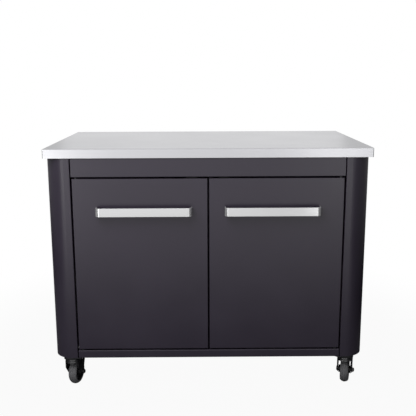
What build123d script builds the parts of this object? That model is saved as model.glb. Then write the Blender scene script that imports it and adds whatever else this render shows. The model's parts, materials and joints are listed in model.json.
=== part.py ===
from build123d import *
import math
import os

# A two-door outdoor kitchen cabinet on four swivel casters, in millimetres.
# X runs to the viewer's right, Y to the back and Z up.
# The origin is on the floor, under the middle of the worktop.

# Worktop
worktop_width = 1200.0
worktop_depth = 700.0
worktop_top = 945.5
worktop_edge = 34.0
worktop_sheet = 1.5
worktop_bend = 3.0
worktop_lip = 30.0
stiffener_width = 70.0
stiffener_foot = 22.0
stiffener_sheet = 1.2
stiffener_spread = 150.0

# Cabinet shell
overhang_front = 5.0
overhang_side = 2.5
corner_radius = 71.0
post_width = 92.5
jamb_depth = 25.0
body_base = 137.2
fascia_height = 70.5
rail_height = 30.5
panel_sheet = 1.5
back_sheet = 1.2
small_bend = 2.5
channel_flange = 40.0
rail_lip = 18.0
rear_rail_height = 40.0
reveal = 6.0
seam = 4.0

# Back panel openings
hose_hole = 30.0
hose_bore = 24.0
hose_side = 300.0
hose_drop = 170.0
grommet_rim = 6.0
grommet_side = 3.0
vent_count = 6
vent_pitch = 24.0
vent_width = 8.0
vent_height = 70.0
vent_margin = 75.0

# Inside
floor_field_rise = 2.5
floor_field_margin = 20.0
floor_field_side = 40.0
floor_field_round = 30.0
divider_setback = 30.0
divider_flange = 25.0
shelf_share = 0.46
shelf_edge = 25.0
shelf_sheet = 1.2
clip_length = 40.0
clip_leg = 22.0
clip_sheet = 1.5

# Doors
door_thickness = 20.0
door_sheet = 1.2
door_bend = 2.0
liner_flange = 10.0
pivot_inset = 13.0
pivot_radius = 4.0
pivot_collar = 7.0
pivot_depth = 16.0
bush_radius = 5.5
bush_collar = 6.5
bush_lip = 2.5
bush_reach = 5.0
strike_width = 40.0
strike_height = 14.0
strike_sheet = 1.2
catch_from_middle = 60.0
catch_depth = 15.0
catch_height = 22.0
magnet_height = 8.0
magnet_proud = 1.0

# Handles
handle_length = 353.0
handle_height = 31.8
handle_strap = 4.0
handle_standoff = 36.0
handle_bend = 15.0
handle_foot = 24.0
handle_foot_bend = 5.0
handle_edge = 0.8
handle_from_middle = 236.0
handle_drop = 119.0

# Screws and bolts
screw_radius = 2.4
screw_head = 4.6
screw_head_height = 2.6
bolt_radius = 3.0
bolt_head = 5.4
bolt_head_height = 4.0

# Casters
wheel_diameter = 100.0
wheel_width = 32.0
tyre_depth = 12.0
tyre_crown = 8.0
rim_sheet = 4.0
hub_radius = 15.0
hub_width = 48.0
web_width = 8.0
web_hole = 6.0
web_hole_count = 6
axle_radius = 5.0
axle_hex = 8.5
axle_head_height = 4.5
axle_nut_height = 6.5
trail = 31.0
fork_inner = 52.0
fork_sheet = 3.0
fork_bend = 8.0
fork_front = 24.0
fork_rear = 26.0
fork_toe = 13.0
wheel_headroom = 7.0
race_outer = 27.0
race_inner = 17.0
ball_ring_height = 4.0
upper_race_height = 8.0
caster_sheet = 4.0
caster_plate_width = 54.0
caster_plate_depth = 76.0
caster_plate_round = 12.0
caster_bolt_x = 17.0
caster_bolt_y = 29.0
kingpin_radius = 6.0
kingpin_head = 10.0
kingpin_head_height = 4.0
caster_out_x = 8.5
caster_out_y = 26.0
mount_sheet = 5.0
mount_inset_front = 4.0
mount_inset_side = 36.5
mount_width = 74.0
mount_depth = 100.0
mount_round = 20.0
mount_chamfer = 10.0
front_left_turn = -12.0
front_right_turn = -17.0
rear_left_turn = 0.0
rear_right_turn = 0.0

# Brake pedals of the front casters
brake_pin_back = 18.0
brake_pin_rise = 57.0
brake_pin_radius = 3.0
brake_ear = 7.0
brake_boss = 6.0
brake_width = 40.0
brake_reach = 46.0
brake_tip = 3.0
brake_fall = 5.0
brake_nose_angle = 20.0
brake_nose = 3.0
brake_gap = 0.4

# Clearances
sheet_fit = 0.5
seat_fit = 0.2
hole_fit = 0.1
pin_fit = 0.08
swivel_fit = 0.3

# Levels and planes that the pieces share
half_width = worktop_width / 2 - overhang_side
front = overhang_front - worktop_depth / 2
back = -front
deck = worktop_top - worktop_edge
fascia_base = deck - fascia_height
floor_top = body_base + rail_height
opening_half = half_width - post_width
channel_half = opening_half - seam
back_inner = back - panel_sheet - back_sheet
door_top = fascia_base - reveal
door_base = floor_top + reveal
door_hinge_edge = opening_half - reveal
door_free_edge = reveal / 2
pivot_x = door_hinge_edge - pivot_inset
pivot_y = front + door_thickness / 2
door_back = front + door_thickness
handle_z = door_top - handle_drop
shelf_top = floor_top + shelf_share * (deck - floor_top)
hose_z = deck - hose_drop
wheel_radius = wheel_diameter / 2
fork_top = wheel_diameter + wheel_headroom + fork_sheet
caster_top = body_base - mount_sheet
upper_race_base = caster_top - caster_sheet - upper_race_height
kingpin_x = half_width - corner_radius + caster_out_x
kingpin_y = back - corner_radius + caster_out_y
screw_y = front + (worktop_lip - overhang_front) / 2


def block(x, y, z):
    """A box between the limits of each axis."""
    middle = Pos(sum(x) / 2, sum(y) / 2, sum(z) / 2)
    return middle * Box(x[1] - x[0], y[1] - y[0], z[1] - z[0])


def rod_x(radius, x, y, z):
    """A round bar along X between two limits."""
    return Pos(sum(x) / 2, y, z) * Rot(0, 90, 0) * Cylinder(radius, x[1] - x[0])


def rod_y(radius, x, y, z):
    """A round bar along Y between two limits."""
    return Pos(x, sum(y) / 2, z) * Rot(90, 0, 0) * Cylinder(radius, y[1] - y[0])


def rod_z(radius, x, y, z):
    """A round bar along Z between two limits."""
    return Pos(x, y, sum(z) / 2) * Cylinder(radius, z[1] - z[0])


def folded(points, radii, sheet):
    """The section of a folded sheet: its outer line, thickened to the left of the way it runs."""
    line = FilletPolyline(*points, radius=radii)
    return make_face(offset(line, amount=sheet, side=Side.LEFT))


def along_x(section, half_length):
    """A section drawn in Y and Z, run both ways along X."""
    return extrude(Plane.YZ * section, half_length, both=True)


def along_z(section, z):
    """A section drawn in plan, run up between two levels."""
    return Pos(0, 0, z[0]) * extrude(section, z[1] - z[0])


def mirrored(shape):
    """The same piece on the other side of the cabinet."""
    return mirror(shape, about=Plane.YZ)


def on_side(shape, side):
    """A piece drawn for the right, or its mirror image for the left."""
    return shape if side == "right" else mirrored(shape)


# Worktop

def rounded_tray(x, y, z, radius):
    """A block with rounded upright edges and a rounded top, as a folded and ground sheet has."""
    shape = block(x, y, z)
    shape = fillet(shape.edges().filter_by(Axis.Z), radius)
    return fillet(shape.faces().sort_by(Axis.Z)[-1].edges(), radius)


def worktop_screw_places():
    """Where the worktop is screwed down, along both long edges."""
    reach = opening_half - 4 * pivot_inset
    return [(x, y) for x in (-reach, 0, reach) for y in (screw_y, -screw_y)]


def make_worktop():
    half_x = worktop_width / 2
    half_y = worktop_depth / 2
    inner_x = half_x - worktop_sheet
    inner_y = half_y - worktop_sheet
    window_x = half_x - worktop_lip
    window_y = half_y - worktop_lip
    skin = rounded_tray((-half_x, half_x), (-half_y, half_y), (deck, worktop_top), worktop_bend)
    hollow = rounded_tray(
        (-inner_x, inner_x),
        (-inner_y, inner_y),
        (deck + worktop_sheet, worktop_top - worktop_sheet),
        worktop_bend - worktop_sheet,
    )
    window = block((-window_x, window_x), (-window_y, window_y), (deck - 1, deck + 2 * worktop_sheet))
    top = skin - hollow - window
    for x, y in worktop_screw_places():
        top -= rod_z(screw_radius + hole_fit, x, y, (deck - 1, deck + 2 * worktop_sheet))
    return top


def make_worktop_stiffeners():
    """Two hat sections under the worktop sheet, down to the level of the deck."""
    half = stiffener_width / 2
    foot = half + stiffener_foot
    upper = worktop_top - worktop_sheet
    lower = deck + stiffener_sheet
    section = folded(
        [(foot, upper), (half, upper), (half, lower), (-half, lower), (-half, upper), (-foot, upper)],
        small_bend,
        stiffener_sheet,
    )
    hat = along_x(section, worktop_width / 2 - worktop_lip - sheet_fit)
    return [Pos(0, y, 0) * hat for y in (-stiffener_spread, stiffener_spread)]


# Cabinet shell

def back_screw_places():
    """Screws of the back panel: up both rear posts, and along the rear rail."""
    post_x = (opening_half + half_width - corner_radius) / 2
    rise = (deck - body_base - 2 * vent_margin) / 3
    posts = [(side * post_x, body_base + vent_margin + step * rise) for side in (-1, 1) for step in range(4)]
    rail = [(share * hose_side, deck - rear_rail_height / 2) for share in (-1, 0, 1)]
    return posts, rail


def make_side_panel(side):
    """One bent sheet: front jamb, rounded front corner, side, rounded rear corner and rear edge."""
    section = folded(
        [
            (opening_half, front + jamb_depth),
            (opening_half, front),
            (half_width, front),
            (half_width, back),
            (opening_half, back),
        ],
        [small_bend, corner_radius, corner_radius],
        panel_sheet,
    )
    panel = along_z(section, (body_base, deck))
    for x, z in back_screw_places()[0]:
        panel -= rod_y(screw_radius + hole_fit, abs(x), (back_inner, back + 1), z)
    return on_side(panel, side)


def make_front_fascia():
    """A channel across the front, under the worktop."""
    section = folded(
        [
            (front + channel_flange, deck),
            (front, deck),
            (front, fascia_base),
            (front + channel_flange, fascia_base),
        ],
        small_bend,
        panel_sheet,
    )
    fascia = along_x(section, channel_half)
    for x, y in worktop_screw_places():
        fascia -= rod_z(screw_radius + hole_fit, x, y, (deck - 2 * panel_sheet, deck + 1))
    for x in (-pivot_x, pivot_x):
        fascia -= rod_z(bush_radius + hole_fit, x, pivot_y, (fascia_base - 1, fascia_base + 2 * panel_sheet))
    return fascia


def make_bottom_rail():
    """A channel across the front, under the doors."""
    section = folded(
        [
            (front + channel_flange, floor_top),
            (front, floor_top),
            (front, body_base),
            (front + rail_lip, body_base),
        ],
        small_bend,
        panel_sheet,
    )
    rail = along_x(section, channel_half)
    for x in (-pivot_x, pivot_x):
        rail -= rod_z(bush_radius + hole_fit, x, pivot_y, (floor_top - 2 * panel_sheet, floor_top + 1))
    return rail


def shell_inside(gap):
    """The plan of the space between the side panels, a gap inside them."""
    depth = back_inner - front - panel_sheet - 2 * gap
    middle = (back_inner + front + panel_sheet) / 2
    plan = RectangleRounded(2 * (half_width - panel_sheet - gap), depth, corner_radius - panel_sheet - gap)
    return Pos(0, middle) * plan


def make_floor_panel():
    """The floor sheet behind the bottom rail, its sides and rear edge folded down, a field pressed up in each bay."""
    floor = along_z(shell_inside(sheet_fit), (floor_top - panel_sheet, floor_top))
    rail_edge = front + channel_flange + sheet_fit
    jamb_outer = opening_half + panel_sheet + 2 * sheet_fit
    floor -= block((-jamb_outer, jamb_outer), (front - 1, rail_edge), (body_base, floor_top + 1))
    side_x = half_width - panel_sheet - sheet_fit
    fold_y = back - corner_radius
    rear_y = back_inner - sheet_fit
    for side in (-1, 1):
        edges = sorted((side * side_x, side * (side_x - panel_sheet)))
        floor += block(edges, (-fold_y, fold_y), (body_base, floor_top))
    rear_x = half_width - corner_radius
    floor += block((-rear_x, rear_x), (rear_y - panel_sheet, rear_y), (body_base, floor_top))
    field_x = (divider_flange + floor_field_margin, half_width - floor_field_side)
    field_y = (rail_edge + floor_field_margin, rear_y - floor_field_side)
    for side in ("left", "right"):
        floor += on_side(pressed_field(field_x, field_y, 0), side)
        floor -= on_side(pressed_field(field_x, field_y, panel_sheet), side)
    return floor


def pressed_field(x, y, inset):
    """A flat field above the floor sheet, or the hollow under it where an inset is given."""
    plan = Pos(sum(x) / 2, sum(y) / 2) * RectangleRounded(
        x[1] - x[0] - 2 * inset,
        y[1] - y[0] - 2 * inset,
        floor_field_round - inset,
    )
    base = floor_top - panel_sheet
    return along_z(plan, (base - inset, floor_top + floor_field_rise - inset))


def make_top_rear_rail():
    """A channel across the back, under the worktop."""
    section = folded(
        [
            (back_inner - channel_flange, deck - rear_rail_height),
            (back_inner, deck - rear_rail_height),
            (back_inner, deck),
            (back_inner - channel_flange, deck),
        ],
        small_bend,
        panel_sheet,
    )
    rail = along_x(section, opening_half)
    for x, y in worktop_screw_places():
        rail -= rod_z(screw_radius + hole_fit, x, y, (deck - 2 * panel_sheet, deck + 1))
    for x, z in back_screw_places()[1]:
        rail -= rod_y(screw_radius + hole_fit, x, (back_inner - 2 * panel_sheet, back), z)
    return rail


def vent_places():
    """Centres of the upright vent slots: one row low in each bay."""
    first = -(vent_count - 1) / 2
    z = floor_top + vent_margin
    return [(side * hose_side + (first + i) * vent_pitch, z) for side in (-1, 1) for i in range(vent_count)]


def make_back_panel():
    """The flat rear sheet, behind the rear posts, with vent slots and the hole for a gas hose."""
    edge = half_width - corner_radius - sheet_fit
    panel = block((-edge, edge), (back_inner, back_inner + back_sheet), (body_base, deck))
    panel -= rod_y(hose_hole, -hose_side, (back_inner - 1, back), hose_z)
    slot = Rot(0, 0, 90) * SlotOverall(vent_height, vent_width)
    for x, z in vent_places():
        panel -= extrude(Pos(x, back_inner, z) * Rot(90, 0, 0) * slot, back_sheet * 2, both=True)
    posts, rail = back_screw_places()
    for x, z in posts + rail:
        panel -= rod_y(screw_radius + hole_fit, x, (back_inner - 1, back), z)
    return panel


def make_hose_grommet():
    """A grooved rubber ring in the hose hole."""
    middle = back_inner + back_sheet / 2
    half = back_sheet / 2 + hole_fit + grommet_side
    ring = rod_y(hose_hole + grommet_rim, -hose_side, (middle - half, middle + half), hose_z)
    groove = block(
        (-hose_side - hose_hole * 2, -hose_side + hose_hole * 2),
        (back_inner - hole_fit, back_inner + back_sheet + hole_fit),
        (hose_z - hose_hole * 2, hose_z + hose_hole * 2),
    )
    groove -= rod_y(hose_hole - hole_fit, -hose_side, (back_inner - 1, back), hose_z)
    bore = rod_y(hose_bore, -hose_side, (middle - 2 * half, middle + 2 * half), hose_z)
    return ring - groove - bore


# Inside

def make_centre_divider():
    """An upright sheet between the bays, its front and foot folded to the right."""
    near = front + divider_setback + channel_flange - jamb_depth
    section = folded(
        [(divider_flange, near), (0, near), (0, back_inner - seat_fit)],
        [small_bend],
        panel_sheet,
    )
    upright = along_z(section, (floor_top, deck - rear_rail_height - sheet_fit))
    crest = block((0, panel_sheet), (near + divider_flange, back_inner - channel_flange - 1), (floor_top, deck))
    foot = block(
        (0, divider_flange),
        (near + divider_flange, back_inner - divider_flange),
        (floor_top, floor_top + panel_sheet),
    )
    return upright + crest + foot


def shelf_limits():
    """The plan limits of the shelf in the right bay."""
    straight = back - corner_radius
    return (panel_sheet + seat_fit, half_width - panel_sheet - seat_fit), (-straight, straight)


def make_right_shelf():
    """A tray turned upside down, open underneath."""
    x, y = shelf_limits()
    tray = rounded_tray(x, y, (shelf_top - shelf_edge, shelf_top), door_bend)
    inner_x = (x[0] + shelf_sheet, x[1] - shelf_sheet)
    inner_y = (y[0] + shelf_sheet, y[1] - shelf_sheet)
    return tray - rounded_tray(
        inner_x,
        inner_y,
        (shelf_top - shelf_edge - 1, shelf_top - shelf_sheet),
        door_bend - shelf_sheet,
    )


def make_shelf_clips():
    """Four angle clips that carry the shelf: two on the divider and two on the side panel."""
    x, y = shelf_limits()
    under = shelf_top - shelf_edge
    clips = []
    for wall, out in ((panel_sheet, 1), (half_width - panel_sheet, -1)):
        section = [(wall, under - clip_leg), (wall, under), (wall + out * clip_leg, under)]
        line = FilletPolyline(*section, radius=small_bend)
        side = Side.RIGHT if out > 0 else Side.LEFT
        angle = Plane.XZ * make_face(offset(line, amount=clip_sheet, side=side))
        for share in (0.2, 0.8):
            middle = y[0] + share * (y[1] - y[0])
            clips.append(extrude(Pos(0, middle, 0) * angle, clip_length / 2, both=True))
    return clips


def make_magnet_catches():
    """Magnet catches under the fascia: a plastic housing with its bar, behind each door's top corner."""
    face = door_back + strike_sheet + swivel_fit
    pieces = []
    for side in (-1, 1):
        x = side * catch_from_middle
        wide = (x - strike_width / 2, x + strike_width / 2)
        bar = (x - strike_width / 2 + 4, x + strike_width / 2 - 4)
        low = fascia_base - catch_height
        housing = block(wide, (face + magnet_proud, face + catch_depth), (low, fascia_base))
        housing = fillet(housing.edges().filter_by(Axis.X).group_by(Axis.Z)[0], small_bend)
        pocket = (face - 1, face + magnet_proud + 6)
        height = (low + 3, low + 3 + magnet_height)
        housing -= block(bar, pocket, height)
        pieces.append(housing)
        pieces.append(block(bar, (face, face + magnet_proud + 6), height))
    return pieces


def make_pivot_bushes():
    """Flanged nylon bushes in the fascia and in the bottom rail, for the doors' pivot pins."""
    pieces = []
    for x in (-pivot_x, pivot_x):
        high = (fascia_base - bush_lip, fascia_base + panel_sheet + bush_reach)
        low = (floor_top - panel_sheet - bush_reach, floor_top + reveal - swivel_fit)
        upper = rod_z(bush_collar, x, pivot_y, (fascia_base - bush_lip, fascia_base))
        lower = rod_z(bush_collar, x, pivot_y, (floor_top, low[1]))
        upper += rod_z(bush_radius, x, pivot_y, high)
        lower += rod_z(bush_radius, x, pivot_y, low)
        for bush, limits in ((upper, high), (lower, low)):
            bore = rod_z(pivot_radius + pin_fit, x, pivot_y, (limits[0] - 1, limits[1] + 1))
            pieces.append(bush - bore)
    return pieces


def make_panel_screws():
    """Pan head screws of the back panel, heads outside."""
    posts, rail = back_screw_places()
    pieces = []
    for places, face in ((posts, back), (rail, back_inner + back_sheet)):
        for x, z in places:
            shank = rod_y(screw_radius, x, (back_inner - 3 * panel_sheet, face), z)
            head = rod_y(screw_head, x, (face, face + screw_head_height), z)
            pieces.append(shank + head)
    return pieces


def make_worktop_screws():
    """Screws from below through the fascia and the rear rail into the worktop's lip."""
    pieces = []
    for x, y in worktop_screw_places():
        seat = deck - panel_sheet
        shank = rod_z(screw_radius, x, y, (seat, deck + 3 * worktop_sheet))
        head = rod_z(screw_head, x, y, (seat - screw_head_height, seat))
        pieces.append(shank + head)
    return pieces


# Doors, drawn for the right side with the hinge at the right edge

def handle_feet():
    """Centres of the two handle feet along X."""
    reach = handle_length / 2 - handle_foot + handle_foot / 4
    return handle_from_middle - reach, handle_from_middle + reach


def make_door_skin(side):
    """A pan with its four edges folded back."""
    x = (door_free_edge, door_hinge_edge)
    z = (door_base, door_top)
    pan = block(x, (front, door_back), z)
    pan = fillet(pan.edges().filter_by(Axis.Y), door_bend)
    pan = fillet(pan.faces().sort_by(Axis.Y)[0].edges(), door_bend)
    hollow = block(
        (x[0] + door_sheet, x[1] - door_sheet),
        (front + door_sheet, door_back + 1),
        (z[0] + door_sheet, z[1] - door_sheet),
    )
    hollow = fillet(hollow.edges().filter_by(Axis.Y), door_bend - door_sheet)
    skin = pan - hollow
    skin -= rod_z(pivot_radius + hole_fit, pivot_x, pivot_y, (door_base - 1, door_top + 1))
    for foot in handle_feet():
        skin -= rod_y(screw_radius + hole_fit, foot, (front - 1, front + 2 * door_sheet), handle_z)
    return on_side(skin, side)


def make_door_liner(side):
    """The inner sheet, its edges folded forward into the pan."""
    gap = door_sheet + seat_fit
    x = (door_free_edge + gap, door_hinge_edge - gap)
    z = (door_base + gap, door_top - gap)
    liner = block(x, (door_back - liner_flange, door_back), z)
    liner = fillet(liner.edges().filter_by(Axis.Y), door_bend)
    hollow = block(
        (x[0] + door_sheet, x[1] - door_sheet),
        (door_back - liner_flange - 1, door_back - door_sheet),
        (z[0] + door_sheet, z[1] - door_sheet),
    )
    hollow = fillet(hollow.edges().filter_by(Axis.Y), door_bend - door_sheet)
    liner -= hollow
    liner -= rod_z(pivot_collar + hole_fit, pivot_x, pivot_y, (door_base - 1, door_top + 1))
    for foot in handle_feet():
        liner -= rod_y(screw_radius + hole_fit, foot, (door_back - 2 * door_sheet, door_back + 1), handle_z)
    return on_side(liner, side)


def make_door_handle(side):
    """A flat strap bent twice at each end, so that its feet lie on the door behind the grip."""
    left = handle_from_middle - handle_length / 2
    right = handle_from_middle + handle_length / 2
    out = front - handle_standoff
    section = folded(
        [
            (left + handle_foot, front),
            (left, front),
            (left, out),
            (right, out),
            (right, front),
            (right - handle_foot, front),
        ],
        [handle_foot_bend, handle_bend, handle_bend, handle_foot_bend],
        handle_strap,
    )
    strap = along_z(section, (handle_z - handle_height / 2, handle_z + handle_height / 2))
    outline = [edge for edge in strap.edges().filter_by(Plane.XY) if edge.center().Y < front - handle_strap]
    outer = [edge for edge in outline if is_outer_edge(edge, left, right, out)]
    strap = fillet(outer, handle_edge)
    for foot in handle_feet():
        strap -= rod_y(screw_radius + hole_fit, foot, (front - 2 * handle_strap, front + 1), handle_z)
    return on_side(strap, side)


def is_outer_edge(edge, left, right, out):
    """Whether a strap edge lies on the strap's outer face, straight or in a grip bend."""
    middle = edge @ 0.5
    on_grip = abs(middle.Y - out) < handle_strap / 2
    in_left_bend = math.dist((middle.X, middle.Y), (left + handle_bend, out + handle_bend)) > handle_bend - 1
    in_right_bend = math.dist((middle.X, middle.Y), (right - handle_bend, out + handle_bend)) > handle_bend - 1
    bend = middle.X < left + handle_bend and in_left_bend or middle.X > right - handle_bend and in_right_bend
    return on_grip or bend and middle.Y < out + handle_bend


def make_handle_screws(side):
    """Screws from inside the door through liner and skin into the handle's feet."""
    pieces = []
    for foot in handle_feet():
        shank = rod_y(screw_radius, foot, (front - handle_strap, door_back), handle_z)
        head = rod_y(screw_head, foot, (door_back, door_back + screw_head_height), handle_z)
        pieces.append(on_side(shank + head, side))
    return pieces


def make_pivot_pins(side):
    """The pins at the top and foot of a door, each with a collar inside the door's edge."""
    pieces = []
    top = door_top - door_sheet
    foot = door_base + door_sheet
    upper = rod_z(pivot_radius, pivot_x, pivot_y, (top - pivot_depth, fascia_base + panel_sheet + bush_reach))
    upper += rod_z(pivot_collar, pivot_x, pivot_y, (top - pivot_depth, top))
    lower = rod_z(pivot_radius, pivot_x, pivot_y, (floor_top - panel_sheet - bush_reach, foot + pivot_depth))
    lower += rod_z(pivot_collar, pivot_x, pivot_y, (foot, foot + pivot_depth))
    for pin in (upper, lower):
        pieces.append(on_side(pin, side))
    return pieces


def make_strike_plate(side):
    """The steel plate that meets the magnet."""
    x = (catch_from_middle - strike_width / 2, catch_from_middle + strike_width / 2)
    low = fascia_base - catch_height
    plate = block(x, (door_back, door_back + strike_sheet), (low, low + strike_height))
    return on_side(plate, side)


# Casters, drawn with the kingpin on the Z axis, the floor at zero and the wheel behind the kingpin

def make_caster_plate():
    """The top plate with its pressed upper race."""
    plan = RectangleRounded(caster_plate_width, caster_plate_depth, caster_plate_round)
    plate = along_z(plan, (caster_top - caster_sheet, caster_top))
    race = rod_z(race_outer, 0, 0, (upper_race_base, caster_top - caster_sheet))
    race -= rod_z(race_inner, 0, 0, (upper_race_base - 1, caster_top - 2 * caster_sheet))
    plate += race
    for x, y in caster_bolt_places():
        plate -= rod_z(bolt_radius + hole_fit, x, y, (upper_race_base, caster_top + 1))
    return plate - rod_z(kingpin_radius + hole_fit, 0, 0, (0, caster_top + 1))


def caster_bolt_places():
    """The four bolt holes round the kingpin."""
    return [(x, y) for x in (-caster_bolt_x, caster_bolt_x) for y in (-caster_bolt_y, caster_bolt_y)]


def make_kingpin():
    """The rivet that holds the fork to the plate."""
    head_top = fork_top - fork_sheet - swivel_fit
    pin = rod_z(kingpin_radius, 0, 0, (head_top - kingpin_head_height, caster_top))
    return pin + rod_z(kingpin_head, 0, 0, (head_top - kingpin_head_height, head_top))


def make_ball_ring():
    """The ring of balls in its cage, between the two races."""
    top = upper_race_base
    ring = rod_z(race_outer - 1, 0, 0, (top - ball_ring_height, top))
    return ring - rod_z(race_inner + 1, 0, 0, (0, caster_top))


def make_fork(braked):
    """A pressed fork: a bridge bent down into two legs that taper back to the axle."""
    half = fork_inner / 2 + fork_sheet
    low = wheel_radius - fork_toe
    section = folded(
        [(half, low), (half, fork_top), (-half, fork_top), (-half, low)],
        fork_bend,
        fork_sheet,
    )
    reach = trail + wheel_radius
    bridge = extrude(Plane.XZ * section, reach, both=True)
    toe = Pos(trail, wheel_radius) * Circle(fork_toe)
    crown = Pos((fork_rear - fork_front) / 2, fork_top - fork_bend / 2)
    crown = crown * Rectangle(fork_front + fork_rear, fork_bend)
    outline = make_hull([*toe.edges(), *crown.edges()])
    fork = bridge & along_x(outline, 2 * half)
    pin = (trail + brake_pin_back, wheel_radius + brake_pin_rise)
    if braked:
        ear = Pos(*pin) * Circle(brake_ear)
        knee = Pos(trail, wheel_diameter - 2 * fork_toe) * Circle(fork_toe)
        ears = along_x(make_hull([*ear.edges(), *knee.edges()]), half)
        fork += ears - block((-fork_inner / 2, fork_inner / 2), (0, 2 * reach), (0, caster_top))
    race = rod_z(race_outer, 0, 0, (fork_top, upper_race_base - ball_ring_height - swivel_fit))
    race -= rod_z(race_inner, 0, 0, (fork_top, caster_top))
    fork += race
    fork -= rod_z(kingpin_radius + pin_fit, 0, 0, (0, caster_top))
    fork -= rod_x(axle_radius + hole_fit, (-2 * half, 2 * half), trail, wheel_radius)
    if braked:
        fork -= rod_x(brake_pin_radius + pin_fit, (-2 * half, 2 * half), *pin)
    return fork


def make_axle():
    """A hexagon bolt across the fork, and its nut on the right."""
    half = fork_inner / 2 + fork_sheet
    hexagon = Plane.YZ * RegularPolygon(axle_hex, 6)
    head = extrude(Pos(-half - axle_head_height, trail, wheel_radius) * hexagon, axle_head_height)
    end = half + axle_nut_height + 1
    bolt = head + rod_x(axle_radius, (-half - axle_head_height, end), trail, wheel_radius)
    nut = extrude(Pos(half, trail, wheel_radius) * hexagon, axle_nut_height)
    nut -= rod_x(axle_radius + hole_fit, (0, 2 * half), trail, wheel_radius)
    return [bolt, nut]


def turned_about_axle(section):
    """A ring about the axle from its section, drawn as (along the axle, radius)."""
    return Pos(0, trail, wheel_radius) * revolve(section, Axis.X)


def make_wheel_core():
    """The moulded wheel centre: hub, web with a ring of holes, and rim."""
    rim = wheel_radius - tyre_depth
    inner = rim - rim_sheet
    rim_half = wheel_width / 2 - 2
    bore = axle_radius + pin_fit
    half = [
        (web_width / 2, inner),
        (web_width / 2, hub_radius),
        (hub_width / 2, hub_radius),
        (hub_width / 2, bore),
    ]
    right = [(rim_half, rim), (rim_half, inner), *half]
    left = [(-x, r) for x, r in reversed(right)]
    core = turned_about_axle(make_face(Polyline(*right, *left, close=True)))
    ring = (hub_radius + inner) / 2
    for i in range(web_hole_count):
        angle = 2 * math.pi * i / web_hole_count
        y = trail + ring * math.cos(angle)
        z = wheel_radius + ring * math.sin(angle)
        core -= rod_x(web_hole, (-web_width, web_width), y, z)
    return core


def make_tyre():
    """The rubber tyre with its round crown."""
    half = wheel_width / 2
    rim = wheel_radius - tyre_depth
    shoulder = wheel_radius - tyre_crown
    crown = ThreePointArc((half, shoulder), (0, wheel_radius), (-half, shoulder))
    sides = Polyline((-half, shoulder), (-half, rim), (half, rim), (half, shoulder))
    return turned_about_axle(make_face([*crown.edges(), *sides.edges()]))


def make_brake_pedal():
    """A lever above the back of the wheel, on its own trunnions, with a nose that meets the tread."""
    pin_y = trail + brake_pin_back
    pin_z = wheel_radius + brake_pin_rise
    to_tread = math.hypot(brake_pin_back, brake_pin_rise) - wheel_radius - brake_gap
    toward_hub = math.atan2(-brake_pin_rise, -brake_pin_back)
    angle = toward_hub + math.radians(brake_nose_angle)
    nose_y = pin_y + (to_tread - brake_nose) * math.cos(angle)
    nose_z = pin_z + (to_tread - brake_nose) * math.sin(angle)
    boss = Pos(pin_y, pin_z) * Circle(brake_boss)
    tip = Pos(pin_y + brake_reach, pin_z - brake_fall) * Circle(brake_tip)
    nose = Pos(nose_y, nose_z) * Circle(brake_nose)
    section = make_hull([*boss.edges(), *tip.edges()]) + make_hull([*boss.edges(), *nose.edges()])
    pedal = along_x(section, brake_width / 2)
    half = fork_inner / 2 + fork_sheet
    return pedal + rod_x(brake_pin_radius, (-half, half), pin_y, pin_z)


def make_caster_bolts():
    """The bolts of one caster, heads below its plate and ends in the tapped mounting plate."""
    pieces = []
    seat = caster_top - caster_sheet
    for x, y in caster_bolt_places():
        shank = rod_z(bolt_radius, x, y, (seat, body_base))
        head = rod_z(bolt_head, x, y, (seat - bolt_head_height, seat))
        pieces.append(shank + head)
    return pieces


def make_mount_plate():
    """The plate under the front right corner that carries a caster, inside the rounded corner."""
    outer_x = half_width - mount_inset_side
    outer_y = front + mount_inset_front
    plan = Pos(outer_x - mount_width / 2, outer_y + mount_depth / 2) * Rectangle(mount_width, mount_depth)
    corner = plan.vertices().group_by(Axis.X)[-1].sort_by(Axis.Y)[0]
    plan = fillet(corner, mount_round)
    inner = plan.vertices().group_by(Axis.X)[0]
    plan = chamfer(inner, mount_chamfer)
    plate = along_z(plan, (caster_top, body_base))
    for x, y in caster_bolt_places():
        plate -= rod_z(bolt_radius + hole_fit, kingpin_x + x, y - kingpin_y, (caster_top - 1, body_base + 1))
    return plate


def caster_places():
    """Name, kingpin position, rest turn and brake of each caster."""
    return [
        ("front_left", -kingpin_x, -kingpin_y, front_left_turn, True),
        ("front_right", kingpin_x, -kingpin_y, front_right_turn, True),
        ("rear_left", -kingpin_x, kingpin_y, rear_left_turn, False),
        ("rear_right", kingpin_x, kingpin_y, rear_right_turn, False),
    ]


def caster_nodes():
    """Every node of the four casters, in place."""
    nodes = {}
    kingpins = []
    rings = []
    bolts = []
    plate = make_caster_plate()
    mount = make_mount_plate()
    axle = make_axle()
    core = make_wheel_core()
    tyre = make_tyre()
    forks = {braked: make_fork(braked) for braked in (True, False)}
    pedal = make_brake_pedal()
    for name, x, y, turn, braked in caster_places():
        place = Pos(x, y, 0)
        turned = place * Rot(0, 0, turn)
        corner = mount if x > 0 else mirrored(mount)
        nodes[name + "_mount_plate"] = corner if y < 0 else mirror(corner, about=Plane.XZ)
        nodes[name + "_caster_plate"] = place * plate
        nodes[name + "_fork"] = turned * forks[braked]
        nodes[name + "_axle"] = [turned * piece for piece in axle]
        nodes[name + "_wheel_core"] = turned * core
        nodes[name + "_tyre"] = turned * tyre
        if braked:
            nodes[name + "_brake_pedal"] = turned * pedal
        kingpins.append(place * make_kingpin())
        rings.append(place * make_ball_ring())
        bolts.extend(place * piece for piece in make_caster_bolts())
    nodes["caster_kingpins"] = kingpins
    nodes["caster_ball_rings"] = rings
    nodes["caster_bolts"] = bolts
    return nodes


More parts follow.
